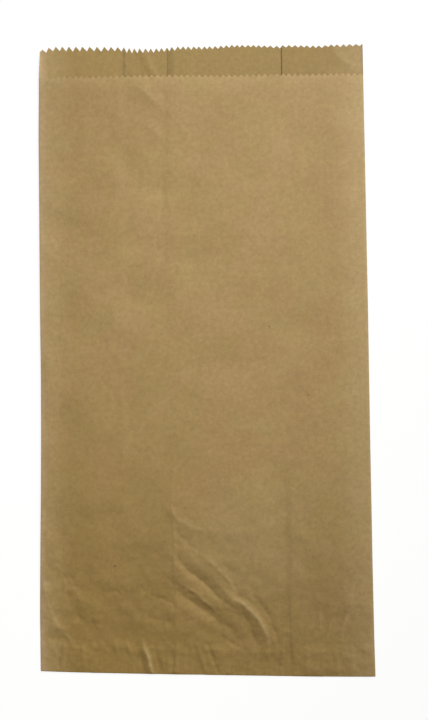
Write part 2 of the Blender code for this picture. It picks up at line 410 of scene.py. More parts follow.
def zip_rails(left, right):
    """Fills the strip between two rails with squares and triangles."""
    i = j = 0
    while i < len(left) - 1 or j < len(right) - 1:
        a, b = left[i][1], right[j][1]
        last_both = i == len(left) - 2 and j == len(right) - 2
        more_left, more_right = i < len(left) - 1, j < len(right) - 1
        if more_left and more_right and (last_both or abs(left[i + 1][0] - right[j + 1][0]) < 1e-7):
            faces.append((a, b, right[j + 1][1], left[i + 1][1]))
            i, j = i + 1, j + 1
        elif not more_right or (more_left and left[i + 1][0] < right[j + 1][0]):
            faces.append((a, b, left[i + 1][1]))
            i += 1
        else:
            faces.append((a, b, right[j + 1][1]))
            j += 1


tongue_rows = chained([FLAP_END + float(knife(np.array([FLAT_HALF]))[0])], flap_rows, nose_rows)
side_rail = {side: rail(side * FLAT_HALF, chained(tongue_rows, side_rows(side))) for side in (1, -1)}
row_of_rails = [side_rail[-1]] + [rail(u, front_rail(u)) for u in front_columns] + [side_rail[1]]
for left, right in zip(row_of_rails, row_of_rails[1:]):
    zip_rails(left, right)
for side in (1, -1):
    rails = [rail(side * u, outer_rail(side, side * u)) for u in outer_columns(side)]
    for near, far in zip(rails, rails[1:]):
        zip_rails(*((near, far) if side > 0 else (far, near)))
print(len(points), "points and", len(faces), "faces before refining")

# %% [markdown]
# ## Creases, placed by hand
#
# ## Creases, placed one by one
# gripped, short pinches across the glued bottom, and soft bends higher up. Each is one line of points
# on the front, given as millimetres across and up from the bottom fold, with its height (negative for a
# valley) and the width of its slope on either hand. A crease in paper is sharp on its line and runs out
# gently, so its profile is concave.

# %% The creases of the front
# name: height, width to the left of its line, width to the right, and the line's points
CREASES = {
    "grip_bend": (0.30, 3.6, 6.0, ((-17.4, 102), (-17.0, 90), (-14.8, 83.6), (-9.0, 80.0), (-1.6, 78.2),
                                   (8, 77))),
    "grip_hollow": (-0.24, 3.0, 3.0, ((-15.4, 76.1), (-9, 70.8), (-2.6, 65.6))),
    "grip_streak": (0.16, 1.8, 2.2, ((-5, 67), (4, 60), (12, 51), (17, 44))),
    "upper_valley": (-0.70, 5.0, 2.8, ((-17.5, 69.2), (-12.9, 61.2), (-6.7, 54.7), (0.5, 48.4), (6.9, 42.4),
                                       (13.6, 37.4))),
    "lower_valley": (-0.84, 4.8, 3.8, ((-18, 51), (-12.6, 42.3), (-2.7, 35.6), (4.6, 30.8), (12, 24.9),
                                       (17, 18))),
    "middle_streak": (0.18, 1.4, 1.8, ((-14, 50), (-6, 43.5), (2, 37.5), (9, 31))),
    "long_ridge": (0.92, 2.5, 7.0, ((10, 47), (15.9, 41), (21.2, 37.9), (26.2, 33.2), (30.2, 27.2),
                                    (32.8, 22.5), (34, 14))),
    "long_valley": (-0.30, 2.6, 1.8, ((25, 43), (31.4, 36.5), (35, 30.2), (37.6, 23.9), (39.5, 14.5))),
    "small_valley": (-0.30, 2.2, 3.2, ((18.5, 35.3), (21.4, 31.1), (23.9, 25.8), (26.2, 16))),
    "low_nick": (-0.24, 2.0, 2.4, ((8, 22), (13, 17.5), (19, 14))),
    "left_nick": (-0.20, 2.4, 3.0, ((-33, 45), (-24, 41.5), (-17, 37), (-9, 31))),
    "low_left_nick": (-0.18, 2.0, 2.6, ((-34, 33), (-27, 29.5), (-19, 27.5))),
    "fold_line": (0.16, 1.2, 1.2, ((44.6, 40), (44.2, 28), (43.8, 15))),
    "bottom_pinch": (0.85, 1.7, 4.8, ((-34, 17), (-32.6, 12), (-31.0, 6), (-29.4, 0), (-28.8, -3))),
    "corner_ridge": (0.46, 5.6, 9.0, ((-90, 50), (-87.5, 40), (-83, 30), (-77, 21), (-70.5, 13.5))),
    "corner_hollow": (-0.32, 5.0, 5.0, ((-78, 62), (-76.5, 52), (-75, 43), (-69, 31), (-60, 24))),
    "corner_streak": (0.14, 4.5, 4.5, ((-77, 56), (-71, 45), (-67, 38), (-61.4, 29.3))),
    "left_touch": (-0.24, 4.6, 4.6, ((-61, 45), (-52, 43.5), (-44, 45))),
    "seam_line": (0.11, 1.0, 4.5, ((-16.9, 112), (-16.6, 92), (-17.0, 80), (-16.5, 66), (-16.8, 48))),
    "right_crease": (0.42, 1.8, 2.2, ((78.6, 42), (75.5, 34), (73.4, 26), (72, 19))),
    "right_short": (0.28, 1.5, 1.9, ((62.2, 37), (61.2, 30), (60.2, 23))),
    "right_nick": (0.24, 1.4, 1.7, ((67, 29), (65.4, 24), (64, 20))),
    "mouth_bend": (0.34, 5.0, 6.0, ((-36, 322), (-33, 318), (-24, 310), (-19, 304))),
    "mouth_short": (0.20, 4.4, 4.4, ((-30, 298), (-19, 289))),
}
print(len(CREASES), "creases by hand")

# %% [markdown]
# The distance from a point to a crease is taken to the nearest stretch of its line, with the side on
# which the point lies. NumPy does this for all the points of the mesh at once. A line through a few
# points is too even for paper, so each place is first shifted by a sum of small waves, and every crease
# wanders a little.

# %% Distance to a wandering line
# each wave: its length, its size and its heading in radians, and where it starts
WANDER = ((9.0, 0.11, 0.4, 1.0), (13.0, 0.15, 1.9, 2.2), (17.0, 0.18, 2.9, 0.3), (24.0, 0.24, 0.9, 3.9),
          (31.0, 0.30, 2.4, 5.1))


def wandered(x, up):
    """The place of each point with a small sway, so that no crease runs as straight as it was drawn."""
    shift_x, shift_up = np.zeros(x.shape), np.zeros(x.shape)
    for length, size, heading, phase in WANDER:
        along = 2 * math.pi * (x * math.cos(heading) + up * math.sin(heading)) / length + phase
        shift_x += size * np.sin(along)
        shift_up += size * np.cos(along * 1.13 + 2.0)
    return x + shift_x, up + shift_up


def from_line(x, up, line):
    """For each point: its signed distance to the line, positive to the right, and its place along it."""
    x, up = wandered(x, up)
    best = np.full(x.shape, 1e9)
    signed, place = np.zeros(x.shape), np.zeros(x.shape)
    spans = [math.dist(a, b) for a, b in zip(line, line[1:])]
    done = 0.0
    for (ax, ay), (bx, by), span in zip(line, line[1:], spans):
        along = ((x - ax) * (bx - ax) + (up - ay) * (by - ay)) / span**2
        t = np.clip(along, 0.0, 1.0)
        away = np.hypot(x - ax - t * (bx - ax), up - ay - t * (by - ay))
        turn = (x - ax) * (by - ay) - (up - ay) * (bx - ax)
        nearer = away < best
        best = np.where(nearer, away, best)
        signed = np.where(nearer, np.where(turn >= 0, away, -away), signed)
        place = np.where(nearer, (done + t * span) / sum(spans), place)
        done += span
    return signed, place


print("lines sway by up to", round(sum(size for _, size, _, _ in WANDER), 2), "mm each way")

# %% [markdown]
# Across its line, a crease is a crest whose slopes flatten outwards. A wide one is rounder at its crest
# than a narrow one. Along its line it runs out to almost nothing at both ends.

# %% The height of a crease
CREST = 0.12
SLOPE_POWER = 1.35


def crease_height(x, up, height, left, right, line):
    """Height in millimetres that one crease adds."""
    signed, place = from_line(x, up, line)
    width = np.where(signed >= 0, right, left)
    crest = CREST * (left + right) / 2
    away = np.sqrt(signed**2 + crest**2) - crest
    ends = np.clip(np.sin(math.pi * (0.04 + 0.92 * place)), 0.0, 1.0) ** 0.7
    return height * np.clip(1.0 - away / width, 0.0, 1.0) ** SLOPE_POWER * ends


def near_a_crease(x, up, reach):
    """Which points lie within reach, in millimetres, of a crease's line."""
    near = np.zeros(x.shape, bool)
    for _, _, _, line in CREASES.values():
        near |= np.abs(from_line(x, up, line)[0]) < reach
    return near


crease_heights = [crease[0] for crease in CREASES.values()]
print("highest crease", max(crease_heights), "mm, deepest", min(crease_heights), "mm")

# %% [markdown]
# ## A finer mesh along the creases
#
# A crease is under a millimetre wide, and the rails are 1.6 mm apart. Making the whole sheet finer
# would cost ten times the triangles, so only the faces along the creases are divided, first wide and
# then narrow.

# %% Refine the flat mesh
# for each pass: millimetres from a crease, and up from the bottom fold, within which the edges are divided
PASSES = ((3.0, 18.0), (0.9, 0.0))


def refined(mesh, reach, band_top):
    """Divides once each edge of the front that lies within reach of a crease, or in the glued band."""
    edges = list(mesh.edges)
    ends = np.array([[tuple(v.co)[:2] for v in e.verts] for e in edges])
    middle = ends.mean(axis=1)
    on_front = (np.abs(ends[:, :, 0]).max(axis=1) < FLAT_HALF - MM) & (ends[:, :, 1].min(axis=1) > NOSE_Y)
    up = (middle[:, 1] - BOTTOM) / MM
    chosen = on_front & (near_a_crease(middle[:, 0] / MM, up, reach) | (up < band_top))
    picked = [e for e, take in zip(edges, chosen) if take]
    bmesh.ops.subdivide_edges(mesh, edges=picked, cuts=1, use_grid_fill=True)


flat = bmesh.new()
for u, v in points:
    flat.verts.new((u, v, 0.0))
flat.verts.ensure_lookup_table()
for face in faces:
    flat.faces.new([flat.verts[k] for k in face])
for reach, band_top in PASSES:
    refined(flat, reach, band_top)
bmesh.ops.triangulate(flat, faces=[f for f in flat.faces if len(f.verts) > 4])
print(len(flat.verts), "points after refining")

# %% [markdown]
# ## The softer forms
#
# Between the creases the paper isn't flat either. It keeps broad, shallow bends, and the glued band at the
# bottom is pinched into short upright ripples. Both are listed one by one, as the creases are. All of these
# are heights too, so they simply add up.

# %% Broad bends and pinches
# each bend, as a crease: its height, its widths to the left and the right, and its line
BENDS = (
    (-0.24, 10.0, 8.0, ((-60, 314), (-52.7, 296), (-44.5, 279), (-35.2, 265), (-20.8, 261), (4, 260))),
    (-0.24, 11.0, 9.0, ((-80, 246), (-59.8, 235), (-39.3, 231), (-21.2, 226), (-4.7, 222), (6, 208),
                        (11, 196))),
    (0.10, 3.0, 3.0, ((-38, 237.5), (-24, 236.5))),
    (0.10, 3.0, 3.0, ((-14, 238), (0, 237))),
    (-0.12, 2.5, 2.5, ((43, 230), (46.8, 215))),
    (0.24, 6.0, 8.0, ((-88, 180), (-85.5, 150), (-88, 125))),
    (0.20, 7.0, 6.0, ((-16, 127), (-6, 122), (6, 119))),
    (0.14, 6.0, 6.0, ((-18, 146), (-10, 140), (-2, 131))),
    (0.24, 10.0, 10.0, ((28, 112), (30, 90), (28, 70), (24, 52))),
    (-0.24, 9.0, 8.0, ((-62, 100), (-48, 80), (-36, 62))),
)
# across, height and half width of each pinch in the glued band, and how far it leans towards its top
PINCHES = (
    (-86, 0.16, 1.8, 0.0), (-78, 0.26, 2.2, 0.1), (-66.4, 0.24, 2.0, -0.1), (-57, 0.20, 2.0, 0.1),
    (-48, 0.28, 2.0, -0.1), (-40.5, 0.36, 1.8, -0.2), (-38, 0.10, 2.0, -0.25), (-34.6, -0.20, 1.8, -0.2),
    (-26.2, -0.46, 2.4, -0.2), (-20.6, 0.24, 1.4, -0.1), (-16.4, 0.36, 1.7, 0.1), (-9.6, -0.26, 1.3, 0.0),
    (-2.0, 0.40, 1.8, -0.3), (4.2, -0.56, 1.5, -0.35), (12.9, 0.36, 1.7, 0.3), (19.0, -0.40, 1.5, 0.55),
    (23.5, 0.32, 1.5, 0.2), (28.2, -0.30, 1.3, 0.1), (35.2, -0.26, 1.3, -0.1), (40.4, 0.40, 1.6, 0.1),
    (45.6, -0.50, 1.4, 0.0), (53.8, 0.34, 1.8, 0.1), (62.0, 0.22, 1.5, 0.0), (69.7, 0.40, 1.8, -0.1),
    (78, 0.22, 1.7, 0.1), (85, 0.16, 1.7, 0.0),
)
print(len(BENDS), "bends and", len(PINCHES), "pinches")

# %% [markdown]
# What lies under the front shows through it. The seam's overlap, the gussets' inner folds and the end
# of the turned-up tongue each press a faint step into it, which is stronger in some places than in
# others. A tanh makes the step, and a bell curve lets it fade to both sides.

# %% Marks from below, and the pinched band
FLAP_MM = FLAP / MM
BAND_MIDDLE = FLAP_MM / 2
# millimetres to the left of the middle where the seam shows, and the height of each step
SEAM_SHOWS = 17.6
SEAM_STEP = 0.16
RIGHT_FOLD_STEP = 0.26
LEFT_FOLD_STEP = 0.07
FLAP_STEP = 0.11


def marks_from_below(x, up):
    """What the seam, the gussets' inner folds and the flap's end press into the front, in millimetres."""
    wander = 0.9 * np.sin(up / 61.0) + 0.5 * np.sin(up / 23.0 + 1.0)
    strength = 0.55 + 0.45 * np.sin(up / 37.0 + 0.6)
    from_seam = x + SEAM_SHOWS
    height = SEAM_STEP * strength * np.tanh((from_seam - wander) / 0.9) * np.exp(-(from_seam / 9.0) ** 2)
    right_fold = x - (HALF - RIGHT_GUSSET) / MM + 0.4 * np.sin(up / 45.0)
    left_fold = x + (HALF - LEFT_GUSSET) / MM - 0.3 * np.sin(up / 52.0)
    fading = smooth((130.0 - up) / 40.0)
    height += RIGHT_FOLD_STEP * np.tanh(right_fold / 0.5) * np.exp(-(right_fold / 8.0) ** 2) * fading
    height -= LEFT_FOLD_STEP * np.tanh(left_fold / 0.8) * np.exp(-(left_fold / 8.0) ** 2)
    flap_end = up - FLAP_MM - 0.35 * np.sin(x / 7.0) - 0.2 * np.sin(x / 2.6)
    pressed = 0.5 + 0.3 * np.sin(x / 5.3 + 1.0) + 0.35 * np.sin(x / 2.3)
    height -= FLAP_STEP * pressed * np.tanh(flap_end / 0.6) * np.exp(-(flap_end / 5.0) ** 2)
    return height


def pinches(x, up):
    """The short upright ripples of the glued band, which lean a little."""
    height = np.zeros(x.shape)
    band = smooth((up + 0.5) / 2.5) * (1.0 - smooth((up - FLAP_MM + 1.0) / 5.0))
    for place, high, width, lean in PINCHES:
        away = np.abs(x - place - lean * (up - BAND_MIDDLE))
        height += high * np.clip(1.0 - away / width, 0.0, 1.0) ** SLOPE_POWER
    return height * band


whole_width = np.linspace(-90.0, 90.0, 361)
low_row = np.full(whole_width.shape, 60.0)
print("marks from below reach", round(float(marks_from_below(whole_width, low_row).max()), 2), "mm")

# %% [markdown]
# Two kinds of unevenness are in the paper everywhere. Damp has left it cockled, in low waves some
# centimetres long, which a sum of sines at seeded headings gives. Where the bag was gripped it is
# crumpled into small facets. Fractal noise does that better than sines, because its ridges break off
# and fork.

# %% Cockle and crumple
rng = np.random.default_rng(7)
WAVES = [(rng.uniform(18, 70), rng.uniform(0, math.pi), rng.uniform(0, 2 * math.pi)) for _ in range(26)]
COCKLE_STEEPNESS = 0.0011


def cockle(x, up):
    """The faint waviness of paper that has taken up some damp, in millimetres."""
    height = np.zeros(x.shape)
    for length, heading, phase in WAVES:
        along = x * math.cos(heading) + up * math.sin(heading)
        height += COCKLE_STEEPNESS * length * np.sin(2 * math.pi * along / length + phase)
    return height


CRUMPLE_SIZE = 11.0
CRUMPLE_LOW = 0.46
CRUMPLE_HIGH = 0.07
CRUMPLE_SOFTNESS = 0.8
CRUMPLE_FINER = 2.1
CRUMPLE_LAYERS = 3


def crumple(x, up):
    """Small irregular facets, strong where the bag was gripped and faint above, in millimetres."""
    spots = [Vector((a, b, 0.0)) for a, b in zip(x / CRUMPLE_SIZE, up / CRUMPLE_SIZE)]
    layers = (CRUMPLE_SOFTNESS, CRUMPLE_FINER, CRUMPLE_LAYERS)
    facets = np.array([noise_at(spot, *layers, noise_basis="PERLIN_ORIGINAL") for spot in spots])
    strength = CRUMPLE_HIGH + (CRUMPLE_LOW - CRUMPLE_HIGH) * smooth((115.0 - up) / 75.0)
    return strength * facets


print(len(WAVES), "waves of cockle, from", round(min(wave[0] for wave in WAVES)), "mm long")

# %% [markdown]
# The front's cut edge is free, so it droops a little. That is the last of what handling has done.
# Everything is added up here, and run out at the bottom fold and the side folds, which stay as the
# machine pressed them.

# %% The droop, and all of it together
DROOP = 0.55
DROOP_RUN = 9.0


def droop(x, up):
    """How far the free edge of the front hangs down at its cut, in millimetres."""
    near_cut = np.clip(1.0 - ((FRONT_CUT - BOTTOM) / MM - up) / DROOP_RUN, 0.0, 1.0)
    return DROOP * near_cut**2 * (1.0 - (x / 90.0) ** 2)


def handling(x, up):
    """All that handling adds to the front, in millimetres."""
    height = marks_from_below(x, up) + pinches(x, up) + cockle(x, up) + crumple(x, up) - droop(x, up)
    for crease in list(CREASES.values()) + list(BENDS):
        height = height + crease_height(x, up, *crease)
    return height * smooth((up + 0.6) / 2.0) * smooth((FLAT_HALF / MM - np.abs(x)) / 2.5)


cut_row = np.full(whole_width.shape, (FRONT_CUT - BOTTOM) / MM)
print("the front's cut droops by up to", round(float(droop(whole_width, cut_row).max()), 2), "mm")

# %% [markdown]
# A valley can't go deeper than the air under it: the front would pass through the gusset, or through
# the back. So the room under each point is worked out, and later nothing sinks further than that.

# %% Room under the front
LEAST_AIR = 0.07 * MM
# the leaf counts a little past its fold, because the front's mesh reaches across that step
LEAF_REACH = 1.07


def room_below(x, y):
    """How far the front could sink at each place before it lay on the gusset or the back, in metres."""
    depth = np.where(x > 0, RIGHT_GUSSET, LEFT_GUSSET)
    inwards = (FLAT_HALF - np.abs(x)) / depth
    share = np.minimum(inwards, 1.0)
    leaf = (side_level(y) - PITCH) * (1.0 - share) + (inner_level(y) + FOLD) * share
    below = np.where(inwards < LEAF_REACH, leaf, back_level(y) + PITCH)
    return front_level(x, y) - below - PAPER - LEAST_AIR


middle_room = float(room_below(np.zeros(1), np.zeros(1))[0])
print("room under the middle of the front:", round(middle_room / MM, 2), "mm")

# %% [markdown]
# ## The lip
#
# Above the front's cut the back and the two leaves of each gusset show. A crease there goes through
# every layer at once, so the same height is added to all of them: a bent corner at the right, a small
# one at the left, and one slanting crease beside the seam. Nothing is pressed below the table.

# %% What bends every layer near the mouth
# millimetres up from the bottom fold where the lip's bends begin
LIP_START = 318.0
RIGHT_EAR = ((72.6, 346), (73.4, 340), (75.6, 335.4), (79.7, 332.2), (85.1, 329.4), (92, 327))
RIGHT_EAR_CREASE = (0.24, 2.8, 3.2, RIGHT_EAR)
RIGHT_EAR_SLOPE = 0.03
LEFT_EAR = ((-86.5, 326), (-87.2, 333), (-89, 341))
LEFT_EAR_SLOPE = 0.12
LIP_CREASE = (0.42, 2.8, 2.4, ((-36, 345), (-31, 336), (-26, 327), (-22, 317)))


def mouth_lift(x, up):
    """Height in millimetres that is added to the back and the gussets near the mouth."""
    near_mouth = smooth((up - LIP_START) / 10.0)
    right, _ = from_line(x, up, RIGHT_EAR)
    left, _ = from_line(x, up, LEFT_EAR)
    left_ear = LEFT_EAR_SLOPE * np.clip(-left, 0.0, 10.0) * (x < 0)
    ears = RIGHT_EAR_SLOPE * np.clip(-right, 0.0, 30.0) + left_ear
    ears = ears + crease_height(x, up, *RIGHT_EAR_CREASE)
    return near_mouth * (np.where(x > 60, ears, 0.0) + np.where(x < -80, ears, 0.0)
                         + crease_height(x, up, *LIP_CREASE))


corner_lift = float(mouth_lift(np.array([88.0]), np.array([345.0]))[0])
print("the right corner is lifted by", round(corner_lift, 2), "mm")

# %% [markdown]
# ## Fold it, and let it settle
#
# The formulas come together here. A last small warp, of a millimetre or so, lets the outline sway as
# that of a handled bag does: its left side is drawn in about the middle, and the bottom fold bows out.
# It moves all the layers at one place alike, so none of them cross.

# %% The sway of the outline
# millimetres up from the bottom fold, and how far the side has moved to the right
LEFT_SWAY = ((0, 0.30), (30, 0.05), (62, 0.50), (95, 0.93), (128, 1.15), (161, 1.10), (194, 0.70),
             (260, 0.38), (293, 0.16), (326, 0.50), (336, 0.90), (344, 1.0))
RIGHT_SWAY = ((0, 0.50), (13, 0.30), (30, 0.15), (62, -0.10), (128, -0.10), (194, 0.10), (293, 0.05),
              (344, -0.15))
BOTTOM_BOW = 1.08
CORNER_BOW = 0.50


def settled(x, y):
    """Moves points of the folded bag a little, so that its outline sways."""
    up = (y - BOTTOM) / MM
    share = x / HALF
    sway = np.where(share < 0, reading(LEFT_SWAY, up) * -share, reading(RIGHT_SWAY, up) * share)
    bow = (BOTTOM_BOW - CORNER_BOW * share**4) * (1.0 - up * MM / BAG_LENGTH)
    return x + sway * MM, y - bow * MM - CUT_SKEW * x / BAG_WIDTH


print("the left side is drawn in by up to", max(sway for _, sway in LEFT_SWAY), "mm")

# %% [markdown]
# Now every point of the flat sheet is folded at once. A point past the bottom fold runs round its half
# circle and back under the bag, and any other keeps its v as its y. The front takes the creases, as far
# as the room under it allows, and all other layers take the bends of the lip.

# %% Fold the sheet
def folded(u, v):
    """The place of each point (u, v) of the flat sheet on the folded bag."""
    x = across(u)
    turn = (NOSE_Y - v) / NOSE
    under = np.where(turn < math.pi, NOSE_Y - NOSE * np.sin(turn), NOSE_Y + (turn - math.pi) * NOSE)
    y = np.where(turn <= 0, v, under)
    rounded = (1.0 + np.cos(np.clip(turn, 0.0, math.pi))) / 2
    x_mm, up = x / MM, (np.maximum(y, NOSE_Y) - BOTTOM) / MM
    on_front = np.abs(u) <= FLAT_HALF
    pressed = np.maximum(handling(x_mm, up) * MM, -np.maximum(room_below(x, y), 0.0))
    added = np.where(on_front, pressed, mouth_lift(x_mm, up) * MM)
    z = np.where(turn <= 0, level(u, y) + added, FLOOR_LEVEL + (2 * NOSE + added) * rounded)
    x, y = settled(x, y)
    return np.stack([x, y, z], axis=1)


flat_uv = np.array([tuple(v.co)[:2] for v in flat.verts])
places = folded(flat_uv[:, 0], flat_uv[:, 1])
for vert, place in zip(flat.verts, places):
    vert.co = place
sheet_mesh = bpy.data.meshes.new("paper_bag_sheet")
flat.to_mesh(sheet_mesh)
flat.free()
print("folded sheet spans", places.min(axis=0).round(5), places.max(axis=0).round(5))

# %% [markdown]
# ## Pale rub and painted highlights, stored on the mesh
#
# Paper fibres lift and go pale where the paper has been folded, and where rubbing has reached it. The finish
# needs to know where that is, so each point of the mesh carries a number from 0 to 1. It is 1 on a fold and
# lower along a raised crease, at the front's cut and on the bent corner. Along a raised crease the number is
# painted highlight as well as pale rub, set on the side of the line that faces the lamp, and on the bent
# corner it is painted light, where the corner faces the lamp.

# %% Pale rub on folds and the cut, with painted highlight on creases and painted light on the corner
# the pale number: rub on folds and at the cut, painted highlight on creases' lit slopes, painted light on
# the bent corner
FOLD_WEAR_RUN = 0.5 * MM
CREASE_WEAR_AND_HIGHLIGHT = 1.3
EAR_PAINTED_LIGHT = 0.6
CUT_WEAR = 0.9
CUT_WEAR_RUN = 3.5


def wear_and_highlight_at(u, v):
    """How pale each point of the flat sheet is, from rubbing, and from painted highlight and painted light.
    """
    x_mm, up = across(u) / MM, (v - BOTTOM) / MM
    wear_and_highlight = np.zeros(u.shape)
    for start in SECTIONS.values():
        for fold in (0, 4):
            middle = (start[fold] + start[fold + 1]) / 2
            wear_and_highlight = np.maximum(wear_and_highlight, np.exp(-((np.abs(u) - middle) / FOLD_WEAR_RUN) ** 2))
    on_front = np.abs(u) < FLAT_HALF
    # painted highlight: each raised crease is made paler beside its line, on the side that faces the lamp,
    # along with the pale rub of its crest
    for height, _, _, line in CREASES.values():
        signed, place = from_line(x_mm, up, line)
        crest = np.exp(-((signed + 0.5) / 0.9) ** 2)
        crease_wear_and_highlight = CREASE_WEAR_AND_HIGHLIGHT * max(height, 0.0) * crest * np.sin(math.pi * place)
        wear_and_highlight = np.maximum(wear_and_highlight, np.where(on_front, crease_wear_and_highlight, 0.0))
    # painted light: the bent right corner is made paler, where it faces the lamp
    ear, _ = from_line(x_mm, up, RIGHT_EAR)
    ear_painted_light = EAR_PAINTED_LIGHT * smooth(-ear / 3.0) * (x_mm > 60.0) * (up > LIP_START)
    wear_and_highlight = np.maximum(wear_and_highlight, np.where(on_front, 0.0, ear_painted_light))
    from_cut = (FRONT_CUT - v) / MM
    wear_and_highlight = np.maximum(wear_and_highlight, np.where(on_front, CUT_WEAR * np.exp(-from_cut / CUT_WEAR_RUN), 0.0))
    return np.clip(wear_and_highlight, 0.0, 1.0)


wear_and_highlight_levels = wear_and_highlight_at(flat_uv[:, 0], flat_uv[:, 1])
print("points with wear:", int((wear_and_highlight_levels > 0.1).sum()))

# %% [markdown]
# Shade falls into the narrow crevices along the gussets' inner folds, and into a strip over the glued seam,
# and it is painted there as a darker tone. This is a second number of the same kind.

# %% Painted shade in the crevices
# painted shade: the crevices by the inner folds and the seam's strip are made darker where shade falls
CREVICE_SHADE_RUN = 1.1 * MM
# millimetres in from the edge of the seam's overlap, and over how many more the strip fades
SEAM_STRIP = 1.5
SEAM_FADE = 3.0
SEAM_MARK = 0.5
INNER_MARK = {1: 0.25, -1: 1.0}


def crevice_shade_at(u):
    """How much painted shade each point takes: on the gussets' inner folds, and in a strip along the seam.
    """
    crevice_shade = np.zeros(u.shape)
    for side, start in SECTIONS.items():
        middle = side * (start[2] + start[3]) / 2
        crevice_shade = np.maximum(crevice_shade, INNER_MARK[side] * np.exp(-((u - middle) / CREVICE_SHADE_RUN) ** 2))
    from_seam = (SECTIONS[1][6] - u) / MM
    return np.maximum(crevice_shade, SEAM_MARK * (1.0 - smooth((from_seam - SEAM_STRIP) / SEAM_FADE)))


# two numbers for each point: painted shade in the crevices, and pale rub with painted highlight
crevice_shade = sheet_mesh.attributes.new("crevice_shade", "FLOAT", "POINT")
crevice_shade.data.foreach_set("value", crevice_shade_at(flat_uv[:, 0]).astype(np.float32))
wear_and_highlight = sheet_mesh.attributes.new("wear_and_highlight", "FLOAT", "POINT")
wear_and_highlight.data.foreach_set("value", wear_and_highlight_levels.astype(np.float32))
print("points crushed:", int((crevice_shade_at(flat_uv[:, 0]) > 0.1).sum()))

# %% [markdown]
# ## Thickness
#
# So far the sheet has no thickness. Solidify gives it the paper's 0.1 mm, half to each side, and closes the
# cut edges. It is applied at once, so that the bag is a plain closed mesh. The inner face is marked with one
# more number, because it shows on the lip, where it is given a darker, yellower tone.

# %% Give the sheet its thickness and attach it to the root body
thin = bpy.data.objects.new("thin_sheet", sheet_mesh)
bpy.context.scene.collection.objects.link(thin)
thickness = thin.modifiers.new("paper thickness", "SOLIDIFY")
thickness.thickness = PAPER
thickness.offset = 0.0
evaluated = thin.evaluated_get(bpy.context.evaluated_depsgraph_get())
bag_mesh = bpy.data.meshes.new_from_object(evaluated)
bag_mesh.name = "folded_paper_bag"
bpy.data.objects.remove(thin)
# Solidify keeps the sheet's own points first, on the outer face, and adds the inner face's points after them
inner_face = np.arange(len(bag_mesh.vertices)) >= len(sheet_mesh.vertices)
heights = np.array([v.co.z for v in bag_mesh.vertices])
on_top = np.abs(flat_uv[:, 0]) < FLAT_HALF / 2
outer_rise = (heights[:len(on_top)] - heights[len(on_top):])[on_top].mean()
print("outer face lies", round(float(outer_rise) / MM, 3), "mm above the inner one")
inside = bag_mesh.attributes.new("inside", "FLOAT", "POINT")
inside.data.foreach_set("value", inner_face.astype(np.float32))
bag = bpy.data.objects.new("folded_paper_bag", bag_mesh)
bpy.context.scene.collection.objects.link(bag)
bag_mesh.shade_smooth()
bag_mesh.set_sharp_from_angle(angle=math.radians(60))
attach(bag, "root")
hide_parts("paper_bag")
print("bag:", sum(len(p.vertices) - 2 for p in bag_mesh.polygons), "triangles")

# %% [markdown]
# ## Writing shaders as sums
#
# Node trees are easier to read as arithmetic. This small class wraps one socket of a material. Sums,
# products and differences of wrapped sockets add the Math nodes that do them, and any other node comes
# from node().

# %% A socket that can be added and multiplied
class Socket:
    """One output of a node, for use in Python expressions."""

    def __init__(self, tree, socket):
        self.tree = tree
        self.socket = socket

    def math(self, operation, *values):
        """A Math node of any operation."""
        return node(self.tree, "ShaderNodeMath", {"operation": operation}, dict(enumerate(values)))

    def __add__(self, other):
        return self.math("ADD", self, other)

    def __sub__(self, other):
        return self.math("SUBTRACT", self, other)

    def __rsub__(self, other):
        return self.math("SUBTRACT", other, self)

    def __mul__(self, other):
        return self.math("MULTIPLY", self, other)

    __radd__ = __add__
    __rmul__ = __mul__

    def between(self, low, high):
        """0 where the value is at or under low, 1 at or over high, and smooth from one to the other."""
        settings = {"interpolation_type": "SMOOTHSTEP"}
        values = {"Value": self, "From Min": low, "From Max": high}
        return node(self.tree, "ShaderNodeMapRange", settings, values)


def node(tree, kind, settings, values, output=0):
    """Adds a node, sets its settings, then its sockets' values or links, and wraps one of its outputs."""
    made = tree.nodes.new(kind)
    for name, value in settings.items():
        setattr(made, name, value)
    for name, value in values.items():
        if isinstance(value, Socket):
            tree.links.new(value.socket, made.inputs[name])
        else:
            made.inputs[name].default_value = value
    return Socket(tree, made.outputs[output])


# %% [markdown]
# Two more helpers. Colours go through a Mix node, because a Math node would turn them grey. A new
# material comes with its Principled shader, and both materials here start from that.

# %% Colours and materials
def mix_colours(tree, factor, first, second):
    """One colour into another by a factor."""
    return node(tree, "ShaderNodeMix", {"data_type": "RGBA"}, {0: factor, 6: first, 7: second}, output=2)


def new_material(name):
    """A new material, its node tree and its Principled shader."""
    material = bpy.data.materials.new(name)
    material.use_nodes = True
    return material, material.node_tree, material.node_tree.nodes["Principled BSDF"]


kraft, tree, shader = new_material("kraft_paper")
print("new material:", kraft.name)

# %% [markdown]
# ## Kraft paper
#
# Unbleached kraft is cooked wood fibre: a warm brown that is cloudy when held to the light, with long
# fibres lying in every direction, a few dark bits of bark, and a faint gloss from the drying cylinder.
# The colour is built in that order: clouds, fibres, flecks, then the pale rub of folds, which on the creases
# and the bent corner is painted highlight as well. Painted light at the sides and painted shade low on the
# left and in the crevices are laid on too. A scanned picture would do the same, but a procedure stays sharp
# at any distance.

# %% The brown of the paper
def linear(r, g, b):
    """A display colour, 0 to 255, as the linear values that a shader takes."""
    return tuple(((c / 255 + 0.055) / 1.055) ** 2.4 if c > 10 else c / 3294.6 for c in (r, g, b)) + (1.0,)


